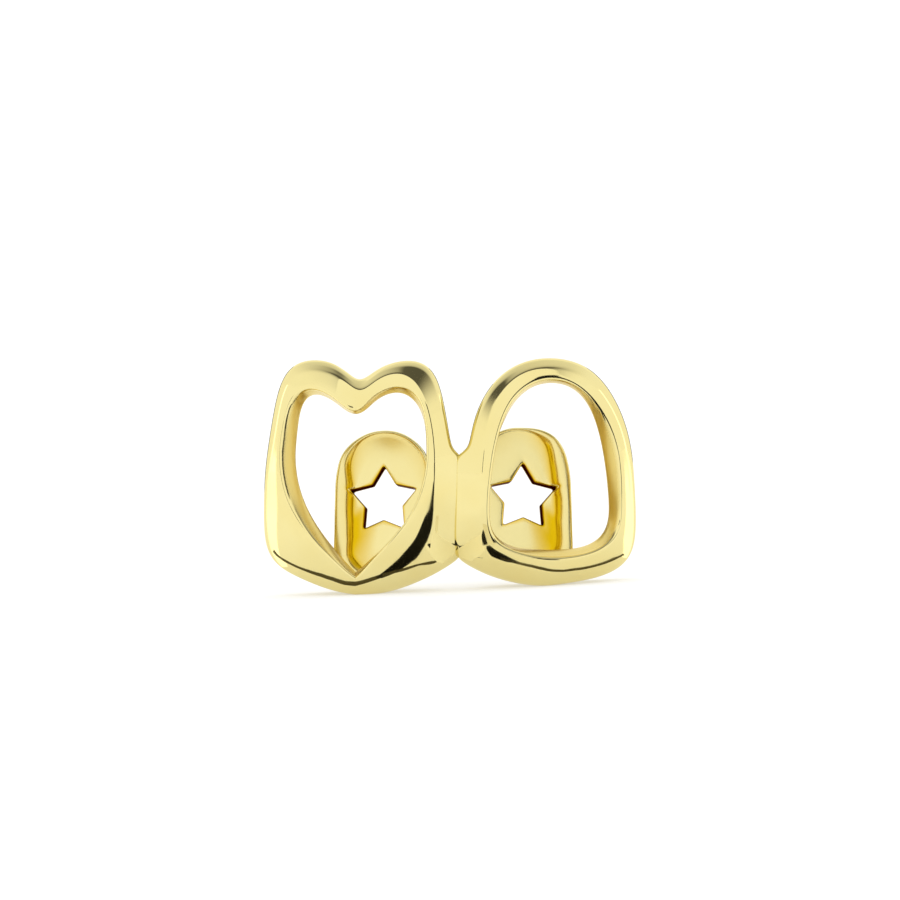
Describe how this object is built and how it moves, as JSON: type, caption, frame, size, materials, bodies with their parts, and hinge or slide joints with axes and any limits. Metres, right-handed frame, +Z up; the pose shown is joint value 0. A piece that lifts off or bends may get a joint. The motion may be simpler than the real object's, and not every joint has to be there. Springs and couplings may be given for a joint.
{
  "type": "grillz tooth cover",
  "caption": "One-piece cast tooth cover for neighbouring upper teeth: an open heart-shaped front and an open arch-shaped front, with star-pierced plates behind the teeth.",
  "frame": {"origin": "centre of the bounding box at its lowest level, on the surface that the biting edges stand on", "axes": "+X across the teeth from the heart cap to the arch cap, +Y back from the front face to the plates behind the teeth, +Z up from the biting edges to the gum edge"},
  "size_m": [0.0186, 0.0066, 0.0118],
  "materials": {
    "polished_gold": "mirror polished yellow gold"
  },
  "bodies": {
    "root": {"tooth_cover": "polished_gold"}
  },
  "joints": []
}
